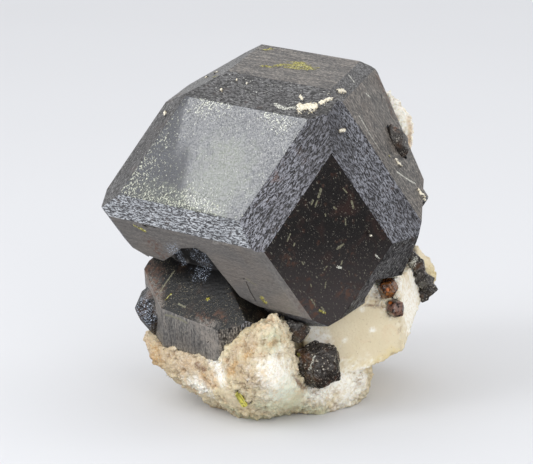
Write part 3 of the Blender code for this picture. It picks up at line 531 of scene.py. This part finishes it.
def feldspar():
    """The rock: cream sugary feldspar, smooth on its cleavages."""
    finish = Finish("feldspar", IOR=1.53, Subsurface_Weight=0.12, Subsurface_Scale=0.0006,
                    Subsurface_Radius=(1.0, 0.75, 0.5))
    smooth, height = finish.mark("smooth"), finish.mark("height")
    cloud = finish.noise(0.16, 3.0, warp=0.5)
    grain = finish.noise(2.2, 3.0, rough=0.6)
    base = finish.blend(cloud.between(0.35, 0.65), colour(208, 192, 156), colour(222, 209, 180))
    warm = finish.noise(0.35, 3.0, warp=0.8).between(0.54, 0.7)
    base = finish.blend(warm * 0.55, base, colour(214, 178, 138))
    stain = finish.noise(0.75, 3.0, warp=1.2).between(0.60, 0.68) * (1 - smooth)
    base = finish.blend(stain * 0.3, base, colour(196, 152, 96))
    base = finish.blend(smooth * 0.65, base, colour(224, 211, 180))
    for name, tone, share in (
        ("tan", colour(186, 162, 134), 0.75), ("gold", colour(222, 202, 134), 0.45),
        ("white", colour(250, 248, 240), 0.9), ("green", colour(196, 206, 176), 0.55),
        ("ochre", colour(196, 150, 84), 0.7),
    ):
        base = finish.blend(finish.mark(name) * (grain.between(0.25, 0.55) * share), base, tone)
    base = finish.blend(finish.mark("brown") * grain.between(0.3, 0.5) * 0.85, base, colour(110, 72, 44))
    # painted shade: darker where the grains lie low, in the crevices
    crevice_shade = height.between(0.42, 0.2) * (1 - smooth)
    base = finish.blend(crevice_shade * 0.48, base, colour(148, 114, 82))
    crumb = grain.between(0.5, 0.68) * (1 - smooth * 0.7)
    base = finish.blend(crumb * 0.24, base, colour(250, 246, 234))
    base = finish.blend(finish.noise(3.4, 2.0).between(0.36, 0.28) * 0.35, base, colour(160, 128, 92))
    rough = grain * 0.2 + 0.42 + (1 - smooth) * 0.12
    relief = finish.noise(3.2, 3.0, rough=0.6) * 0.6 + finish.cells(2.6) * 0.5
    normal = finish.bump(relief * (1 - smooth * 0.8), 0.3)
    return finish.feed(Base_Color=base, Roughness=rough, Normal=normal)


# ---- meshes ----------------------------------------------


def merged(node):
    """A node's mesh as one closed surface of flat faces."""
    bm = bmesh.new()
    bm.from_mesh(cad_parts[node].data)
    bmesh.ops.remove_doubles(bm, verts=bm.verts, dist=SAME_POINT)
    bmesh.ops.dissolve_limit(bm, angle_limit=math.radians(0.5), verts=bm.verts, edges=bm.edges)
    return bm


def refine(bm, longest):
    """Halves edges, in up to twelve rounds, until none is longer than longest(edge)."""
    bmesh.ops.triangulate(bm, faces=bm.faces)
    for _ in range(12):
        long = [e for e in bm.edges if e.calc_length() > longest(e)]
        if not long:
            return
        bmesh.ops.subdivide_edges(bm, edges=long, cuts=1)
        bmesh.ops.triangulate(bm, faces=[f for f in bm.faces if len(f.verts) > 3])


def places(bm):
    """The mesh's corners, in millimetres."""
    return np.array([v.co for v in bm.verts]) / MM


def distance_to(points, line):
    """Each point's distance from a line of points, in millimetres."""
    line = np.array(line, float)
    if len(line) == 1:
        return np.linalg.norm(points - line[0], axis=1)
    best = np.full(len(points), np.inf)
    for start, end in zip(line, line[1:]):
        way = end - start
        share = np.clip((points - start) @ way / (way @ way), 0, 1)
        best = np.minimum(best, np.linalg.norm(points - start - share[:, None] * way, axis=1))
    return best


def paint(bm, marks, names):
    """Writes the marks as vertex attributes: 1 at a line, a half near its radius, and a ragged rim."""
    points = places(bm)
    ragged = np.array([noise.noise(Vector(p) * 1.3) + 0.7 * noise.noise(Vector(p) * 3.1) for p in points])
    found = {name: np.zeros(len(points)) for name in names}
    for name, radius, line in marks:
        away = distance_to(points, line) / radius + min(1.1 * radius, 0.9) * ragged
        found[name] = np.maximum(found[name], np.clip(1.5 - away, 0, 1))
    for name, values in found.items():
        layer = bm.verts.layers.float.new(name)
        for vert, value in zip(bm.verts, values):
            vert[layer] = value
    return found


def keep_in_box(bm):
    """Moves a corner that stands out of the CAD solids' box back to its side."""
    low, high = CAD_BOX
    for vert in bm.verts:
        vert.co = [min(max(c, a), b) for c, a, b in zip(vert.co, low, high)]


def make_piece(name, bm, finishes, nodes, sharp=50):
    """Makes a mesh into a finished object that rides on the body and stands for its CAD nodes."""
    keep_in_box(bm)
    for face in bm.faces:
        face.smooth = True
    for edge in bm.edges:
        edge.smooth = edge.calc_face_angle(0.0) < math.radians(sharp)
    mesh = bpy.data.meshes.new(name)
    bm.to_mesh(mesh)
    bm.free()
    for finish in finishes:
        mesh.materials.append(finish)
    piece = bpy.data.objects.new(name, mesh)
    bpy.context.scene.collection.objects.link(piece)
    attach(piece, "root")
    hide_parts(*nodes)


def wear_edges(bm, width, shortest=0.0, clamp=True):
    """Bevels the keen edges that are longer than the shortest, in two narrow faces each."""
    keen = [e for e in bm.edges
            if e.calc_face_angle(0.0) > math.radians(KEEN_TURN) and e.calc_length() > shortest * MM]
    bmesh.ops.bevel(bm, geom=keen, offset=width * MM, affect="EDGES", segments=2, profile=0.5,
                    material=-1, clamp_overlap=clamp)


# ---- crystals --------------------------------------------

WIDE_MARKS = ("flecked", "painted_reflection", "rust", "painted_glint", "painted_glow", "painted_dimming")
CRYSTAL_MARK_NAMES = ("crust", "olive", "pale", "fleck", "rust", "crack", "painted_glint", "flecked", "painted_reflection",
                      "deep", "worn", "painted_glow", "painted_dimming")
FORM_INDICES = [i for i in itertools.product((-2, -1, 0, 1, 2), repeat=3)
                if sorted(map(abs, i)) in ([0, 1, 1], [1, 1, 2])]
(POLISHED, DARK, RIDGED, SATIN, STRIATED, ETCHED, BLACK, GREY, DARK_RIDGED, PALE_RIDGED, FINE_RIDGED,
 STREAKED) = range(12)
RIDGED_KINDS = (RIDGED, DARK_RIDGED, PALE_RIDGED, FINE_RIDGED)
MAIN_FINISHES = {
    (1, 0, 1): POLISHED, (0, 1, 1): DARK, (0, -1, 1): SATIN, (1, 1, 0): GREY, (-1, 0, 1): STRIATED,
    (1, -1, 2): DARK_RIDGED, (-1, -1, 2): DARK_RIDGED, (2, -1, 1): DARK_RIDGED, (2, 1, 1): PALE_RIDGED,
    (-1, 2, 1): DARK_RIDGED, (1, 2, 1): GREY, (-1, 1, 2): FINE_RIDGED, (1, -2, 1): DARK_RIDGED,
}
LOWER_FINISHES = {(1, 1, 0): BLACK, (0, 1, 1): STREAKED, (1, 1, 2): STREAKED, (1, 0, -1): BLACK}
RHOMB_LINES = {
    (0, 1, 1): (1, -1, 1), (0, -1, 1): (1, -1, -1), (1, 1, 0): (1, -1, -1), (-1, 0, 1): (1, -1, 1),
}


def growth_line(index):
    """The way that growth lines run on a face of the form, in the crystal's own axes."""
    if 2 in map(abs, index):
        return tuple((-1 if abs(c) == 2 else 1) * int(math.copysign(1, c)) for c in index)
    usual = tuple(1 if c == 0 else c if axis != 2 else -c for axis, c in enumerate(index))
    return RHOMB_LINES.get(index, usual)


def face_kinds():
    """(normal, growth line, finish) of every flat face of the two big crystals."""
    kinds = []
    for turn, named, usual in ((MAIN_TURN, MAIN_FINISHES, SATIN), (LOWER_TURN, LOWER_FINISHES, STRIATED)):
        matrix = Euler([math.radians(a) for a in turn], "XYZ").to_matrix()
        for index in FORM_INDICES:
            strip = 2 in map(abs, index)
            finish = named.get(index, RIDGED if strip else usual)
            kinds.append((matrix @ Vector(index).normalized(), matrix @ Vector(growth_line(index)), finish))
    return kinds


def finer_near_marks(marks, size, ridged, ridged_size, skip=()):
    """Gives a function of an edge's mesh size: finer on ridged faces, and near a mark if it is small."""
    spots = []
    for name, radius, line in marks:
        if name not in skip:
            finer = min(max(radius * 0.7, FINEST_MARK_MESH), COARSEST_MARK_MESH) * MM
            spots += [(Vector(start).lerp(Vector(end), step / 8) * MM, (radius * 1.3 + 0.1) * MM, finer)
                      for start, end in zip(line, line[1:] or line) for step in range(9)]
    tree = KDTree(len(spots))
    for index, spot in enumerate(spots):
        tree.insert(spot[0], index)
    tree.balance()

    def longest(edge):
        _, index, distance = tree.find((edge.verts[0].co + edge.verts[1].co) / 2)
        _, reach, finer = spots[index]
        if distance < reach + edge.calc_length() * 0.45:
            return finer
        return (ridged_size if any(f.material_index in ridged for f in edge.link_faces) else size) * MM

    return longest


def sort_faces(bm, kinds):
    """Sets each face's material index to its kind's, or to one past the last if it is of none."""
    for face in bm.faces:
        found = [k for k, (normal, _, _) in enumerate(kinds) if normal.dot(face.normal) > SAME_WAY]
        face.material_index = found[0] if found else len(kinds)


def wrinkled(bm, kinds, ridged):
    """How far each vertex inside a ridged face stands out, in millimetres."""
    rises = {}
    for vert in bm.verts:
        on = {f.material_index for f in vert.link_faces}
        if len(on) == 1 and on <= ridged:
            normal, line, _ = kinds[min(on)]
            place, along = vert.co / MM, line.normalized()
            spot = Vector((place.dot(along) * 0.45, place.dot(normal.cross(along)) * 0.95, min(on)))
            rises[vert] = WRINKLE * noise.noise(spot)
    return rises


def lay_growth(bm, kinds):
    """Writes the UV map along each face's growth lines, and sets its material index to its finish."""
    growth = bm.loops.layers.uv.new("growth")
    for face in bm.faces:
        kind = face.material_index
        if kind == len(kinds):
            normal, line, face.material_index = face.normal, Vector((0.3, 0.2, 0.9)), ETCHED
        else:
            normal, line, face.material_index = kinds[kind]
        along = (line - normal * line.dot(normal)).normalized()
        across = normal.cross(along)
        for loop in face.loops:
            place = loop.vert.co / MM
            loop[growth].uv = (place.dot(along) + 7 * kind, place.dot(across))


def raise_marks(bm, found, wrinkles):
    """Lifts the crusts, the olive coats and the wrinkles, and sinks the cracks."""
    for index, vert in enumerate(bm.verts):
        place = vert.co / MM
        crusted = min(max(found["crust"][index] * 2.5 - 0.6, 0.0), 1.0)
        rise = crusted * (CRUST_RISE + 0.35 * noise.noise(place * 2.6))
        rise += found["olive"][index] * (OLIVE_RISE + 0.12 * noise.noise(place * 3.0))
        rise -= CRACK_DEPTH * found["crack"][index]
        rise += wrinkles.get(vert, 0.0) + 0.006 * noise.noise(place * 0.35) - 0.006
        vert.co += vert.normal * rise * MM


def crystal_finishes():
    """The big crystals' materials, in the order of their numbers."""
    made = {
        POLISHED: polished_face(),
        DARK: dark_face(),
        RIDGED: ridged_strip(
            "ridged_garnet", colour(40, 38, 41), colour(124, 124, 132), colour(150, 151, 160),
            white_from=0.73, relief=0.65, fineness=1.12),
        FINE_RIDGED: ridged_strip(
            "fine_ridged_garnet", colour(40, 38, 42), colour(123, 124, 132), colour(147, 149, 158),
            white_from=0.73, relief=0.6, fineness=1.2),
        DARK_RIDGED: ridged_strip(
            "dark_ridged_garnet", colour(24, 22, 22), colour(84, 82, 83), colour(112, 111, 112),
            white_from=0.66, relief=0.45, fineness=1.15),
        PALE_RIDGED: ridged_strip(
            "pale_ridged_garnet", colour(74, 74, 78), colour(172, 176, 182), colour(194, 198, 204),
            white_from=0.71, relief=0.65, fineness=1.25),
        SATIN: brown_face(
            "satin_garnet", colour(68, 63, 61), colour(82, 72, 67),
            lines=0.4, spread=0.6, low_rough=0.34, specks=1.0, length=0.2, across=0.9),
        STRIATED: brown_face(
            "striated_garnet", colour(60, 58, 56), colour(82, 70, 60),
            lines=0.12, spread=0.7, low_rough=0.3, specks=1.0, length=0.3),
        STREAKED: brown_face(
            "streaked_garnet", colour(116, 114, 112), colour(136, 130, 123),
            lines=0.05, spread=0.45, low_rough=0.3, specks=0.6),
        GREY: brown_face(
            "grey_garnet_face", colour(110, 107, 105), colour(118, 112, 107),
            lines=0.02, spread=0.15, low_rough=0.36, specks=0.24),
        ETCHED: etched_face(
            "etched_garnet", colour(14, 13, 15), colour(150, 156, 170), pits=0.35, rough_from=0.14),
        BLACK: etched_face(
            "black_garnet", colour(11, 10, 10), colour(132, 124, 104),
            pits=0.05, rough_from=0.26, warm=0.3, shine=1.48),
    }
    return [made[kind] for kind in sorted(made)]


def big_crystals():
    """The two big garnets, grown together, with a finish for each form of face."""
    bm = merged("garnet_group")
    kinds = face_kinds()
    sort_faces(bm, kinds)
    wear_edges(bm, WORN_EDGE, KEEN_LENGTH, clamp=False)
    ridged = {k for k, kind in enumerate(kinds) if kind[2] in RIDGED_KINDS}
    refine(bm, finer_near_marks(CRYSTAL_MARKS, FACE_MESH, ridged, STRIP_MESH, WIDE_MARKS))
    bm.normal_update()
    wrinkles = wrinkled(bm, kinds, ridged)
    lay_growth(bm, kinds)
    raise_marks(bm, paint(bm, CRYSTAL_MARKS, CRYSTAL_MARK_NAMES), wrinkles)
    make_piece("garnet_crystals", bm, crystal_finishes(), ["garnet_group"])


def small_crystal(node, name, finish, relief, size=0.3):
    """A little crystal with worn edges and etched faces; relief and mesh size are in millimetres."""
    bm = merged(node)
    wear_edges(bm, SMALL_WORN_EDGE)
    refine(bm, lambda edge: size * MM)
    bm.normal_update()
    paint(bm, CRYSTAL_MARKS, CRYSTAL_MARK_NAMES)
    growth = bm.loops.layers.uv.new("growth")
    turn = Euler([math.radians(a) for a in EPIDOTE_TURN], "XYZ").to_matrix()
    for face in bm.faces:
        for loop in face.loops:
            place = turn.transposed() @ (loop.vert.co / MM)
            loop[growth].uv = (place.z, place.x + place.y)
    for vert in bm.verts:
        vert.co += vert.normal * (crumbly(vert.co / MM * 0.75) - 0.2) * relief * MM
    make_piece(name, bm, [finish], [node])


# ---- rock ------------------------------------------------


ROCK_MARK_NAMES = ("tan", "ochre", "brown", "white", "green", "gold")


def remeshed(bm, voxel):
    """The mesh made again of even small faces."""
    mesh = bpy.data.meshes.new("rock_block")
    bm.to_mesh(mesh)
    block = bpy.data.objects.new("rock_block", mesh)
    bpy.context.scene.collection.objects.link(block)
    remesh = block.modifiers.new("remesh", "REMESH")
    remesh.mode, remesh.voxel_size = "VOXEL", voxel * MM
    block.update_tag()
    graph = bpy.context.evaluated_depsgraph_get()
    fine = bmesh.new()
    fine.from_mesh(bpy.data.meshes.new_from_object(block.evaluated_get(graph)))
    bpy.data.objects.remove(block)
    return fine


def spread(values, ends, rounds):
    """Each vertex's value averaged with its neighbours', a number of times."""
    count = np.bincount(ends.ravel(), minlength=len(values))
    for _ in range(rounds):
        total = np.bincount(ends[:, 0], values[ends[:, 1]], len(values))
        total += np.bincount(ends[:, 1], values[ends[:, 0]], len(values))
        values = 0.4 * values + 0.6 * total / np.maximum(count, 1)
    return values


def crumbly(place):
    """Height of a sugary surface at a point, about -1 to 1: blocky grains, each tilted its own way."""
    height = 0.45 * noise.noise(place * 0.42)
    for size, share in ((0.8, 0.5), (1.7, 0.32)):
        spots, centres = noise.voronoi(place * size)
        tilt = noise.cell_vector(centres[0] * 9.7) - Vector((0.5, 0.5, 0.5))
        seam = min((spots[1] - spots[0]) * 3.0, 1.0)
        height += share * (tilt.dot(place * size - centres[0]) * 2.2 + 0.8 * seam - 0.5)
    return height + 0.15 * noise.noise(place * 3.2)


def flattened(bm, solid):
    """Lays the mesh on the solid's larger faces, and gives 1 for each vertex on one and 0 elsewhere."""
    shell = BVHTree.FromBMesh(solid)
    solid.faces.ensure_lookup_table()
    areas = [f.calc_area() / MM**2 for f in solid.faces]
    smooth = np.zeros(len(bm.verts))
    for index, vert in enumerate(bm.verts):
        place, _, face, _ = shell.find_nearest(vert.co)
        if areas[face] > CLEAVAGE_AREA:
            smooth[index] = 1.0
            vert.co = place
    return smooth


def softened(bm, smooth):
    """The smoothness with the sleek marks added, and its edges blurred."""
    points = places(bm)
    for name, radius, line in ROCK_MARKS:
        if name == "sleek":
            smooth = np.maximum(smooth, 0.75 * np.clip(1.4 - distance_to(points, line) / radius, 0, 1))
    bm.verts.index_update()
    ends = np.array([[v.index for v in e.verts] for e in bm.edges])
    return spread(smooth, ends, 5)


def crumbled(bm, smooth):
    """Where each vertex stands once the surface is sugary, and the grains' height there."""
    bm.normal_update()
    height = np.zeros(len(bm.verts))
    moved = []
    for index, vert in enumerate(bm.verts):
        place = vert.co / MM
        height[index] = crumbly(place)
        depth = (0.62 + 0.3 * noise.noise(place * 0.2)) * (1 - smooth[index]) ** 1.5 + 0.03
        ways = [place * 1.7 + Vector(shift) for shift in ((0, 0, 0), (9, 4, 2), (-3, -8, -5))]
        ragged = Vector([noise.noise(way) for way in ways])
        moved.append(vert.co + (vert.normal * (height[index] - 0.1) * depth
                                + ragged * 0.35 * (1 - smooth[index])) * MM)
    return moved, height


def lay_on_crystals(bm, moved):
    """Moves each vertex to its place, or onto a crystal's surface where that is close or passed."""
    crystals = bmesh.new()
    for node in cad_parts:
        if node != "matrix":
            crystals.from_mesh(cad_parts[node].data)
    bmesh.ops.remove_doubles(crystals, verts=crystals.verts, dist=SAME_POINT)
    near = BVHTree.FromBMesh(crystals)
    crystals.free()
    for vert, place in zip(bm.verts, moved):
        spot, normal, _, distance = near.find_nearest(place)
        side = (place - spot).dot(normal)
        if side < 0.05 * MM and distance < 1.5 * MM or distance < 0.5 * MM:
            place = spot + normal * SKIN * MM
        vert.co = place


def rock():
    """The feldspar: smooth on its cleavages, sugary elsewhere, and tight round the crystals."""
    solid = merged("matrix")
    bm = remeshed(solid, ROCK_MESH)
    smooth = softened(bm, flattened(bm, solid))
    solid.free()
    moved, height = crumbled(bm, smooth)
    lay_on_crystals(bm, moved)
    for name, values in (("height", height * 0.5 + 0.5), ("smooth", smooth)):
        layer = bm.verts.layers.float.new(name)
        for vert, value in zip(bm.verts, values):
            vert[layer] = value
    paint(bm, [mark for mark in ROCK_MARKS if mark[0] != "sleek"], ROCK_MARK_NAMES)
    make_piece("feldspar_rock", bm, [feldspar()], ["matrix"], sharp=32)


# ---- stage -----------------------------------------------


def floor():
    """A wide sheet of pale paper under the specimen, left out of reflections."""
    bm = bmesh.new()
    bmesh.ops.create_circle(bm, cap_ends=True, segments=64, radius=6.0)
    mesh = bpy.data.meshes.new("floor")
    bm.to_mesh(mesh)
    bm.free()
    paper = Finish("floor_paper", Roughness=0.9, Specular_IOR_Level=0.1)
    tone = paper.blend(paper.noise(0.004, 2.0), colour(214, 215, 218), colour(218, 219, 222))
    mesh.materials.append(paper.feed(Base_Color=tone))
    sheet = bpy.data.objects.new("floor", mesh)
    bpy.context.scene.collection.objects.link(sheet)
    sheet.visible_glossy = False


def surroundings():
    """A white tent for soft light; polished faces see it pale behind and left, and dark low in front."""
    world = bpy.data.worlds.new("studio")
    bpy.context.scene.world = world
    world.use_nodes = True
    graph = Graph(world.node_tree)
    way = graph.node("ShaderNodeTexCoord", {}, {}, "Generated")

    def facing(direction, more):
        """How far the way looks along a direction, and some more, from 0 to 1."""
        sockets = {0: way, 1: direction}
        along = graph.node("ShaderNodeVectorMath", {"operation": "DOT_PRODUCT"}, sockets, "Value")
        return graph.node("ShaderNodeMath", {"operation": "ADD", "use_clamp": True}, {0: along, 1: more})

    light = facing((-0.35, 0.5, 0.0), 0.45) * facing((0.0, 0.0, 0.6), 0.5)
    sockets = {"Value": light, "From Min": 0.06, "From Max": 0.5, "To Min": 0.02, "To Max": 0.78}
    seen = graph.node("ShaderNodeMapRange", {}, sockets)
    mirrored = graph.node("ShaderNodeLightPath", {}, {}, "Is Glossy Ray")
    strength = graph.node("ShaderNodeMix", {"data_type": "FLOAT"}, {0: mirrored, 2: 1.05, 3: seen})
    background = graph.tree.nodes["Background"]
    background.inputs["Color"].default_value = (0.985, 0.99, 1.0, 1.0)
    graph.tree.links.new(strength.socket, background.inputs["Strength"])


def softbox(name, centre, aim, wide, high, radiance, tint=(1.0, 1.0, 1.0), edge=None):
    """A rectangular light.  edge is the direction of its height, where that matters."""
    lamp = bpy.data.lights.new(name, "AREA")
    lamp.shape, lamp.size, lamp.size_y = "RECTANGLE", wide, high
    lamp.energy, lamp.color = radiance * math.pi * wide * high, tint
    box = bpy.data.objects.new(name, lamp)
    back = (Vector(centre) - Vector(aim)).normalized()
    upright = Vector(edge or (0, 0, 1))
    upright = (upright - back * upright.dot(back)).normalized()
    turn = Matrix((upright.cross(back), upright, back)).transposed()
    box.matrix_world = Matrix.Translation(centre) @ turn.to_4x4()
    bpy.context.scene.collection.objects.link(box)


def lights():
    """Four softboxes.  One upright edge of the key passes through seam; the box lies inward of it."""
    edge = Vector((0.006, 0.016, 0.022)).normalized()
    seam = Vector((-0.410, -0.135, 0.318))
    inward = Vector((0.653, -0.751, 0.098))
    wide = 0.24
    softbox("key", seam + inward * wide / 2, (0, -0.01, 0.035), wide, 0.3, 4.0, (0.97, 0.985, 1.0), edge)
    softbox("overhead", (0.0, 0.0, 0.75), (0, 0, 0), 1.0, 0.8, 2.4)
    softbox("front_fill", (0.2, -0.85, 0.32), (0, 0, 0.02), 0.7, 0.4, 2.4, (1.0, 0.985, 0.96))
    softbox("right_edge", (0.75, 0.15, 0.2), (0, 0, 0.03), 0.3, 0.6, 1.2)


def camera():
    """A long lens, 350 mm away and looking down by 12 degrees."""
    lens = bpy.data.cameras.new("camera")
    lens.lens, lens.sensor_width, lens.sensor_fit = 147.75, 36.0, "HORIZONTAL"
    lens.clip_start, lens.clip_end = 0.01, 20.0
    eye = bpy.data.objects.new("camera", lens)
    target, rise, away = Vector((0, 0, 0.0272)), math.radians(12), 0.350
    eye.location = target + Vector((0, -math.cos(rise), math.sin(rise))) * away
    eye.rotation_euler = (target - eye.location).to_track_quat("-Z", "Y").to_euler()
    bpy.context.scene.collection.objects.link(eye)
    bpy.context.scene.camera = eye


# ---- the specimen ----------------------------------------

bpy.context.scene.view_settings.view_transform = "Standard"
camera()
surroundings()
lights()
floor()

big_crystals()
rock()
pitted = etched_face("pitted_garnet", colour(50, 44, 40), colour(190, 182, 166),
                     pits=0.6, rough_from=0.04, warm=0.8, shine=2.0, coarse=0.5)
glossy = etched_face("glossy_garnet", colour(60, 56, 53), colour(176, 170, 158),
                     pits=0.25, rough_from=0.06, warm=0.7, shine=1.9, coarse=0.7)
orange = rust_crystal("rust_garnet", colour(58, 34, 22), colour(120, 76, 38), bright=0.45)
wine = rust_crystal("wine_garnet", colour(45, 29, 25), colour(124, 92, 80), bright=0.1)
small_crystal("front_garnet", "front_crystal", pitted, relief=0.32, size=0.2)
small_crystal("wedged_garnet", "wedged_crystal", glossy, relief=0.1)
small_crystal("upper_right_garnet", "upper_right_crystal", glossy, relief=0.06)
small_crystal("edge_garnets", "edge_crystals", glossy, relief=0.1)
small_crystal("rust_garnet_upper", "rust_crystal_upper", orange, relief=0.1, size=0.15)
small_crystal("rust_garnet_lower", "rust_crystal_lower", wine, relief=0.04, size=0.15)
small_crystal("epidote_prism", "epidote_crystal", epidote(), relief=0.05, size=0.2)
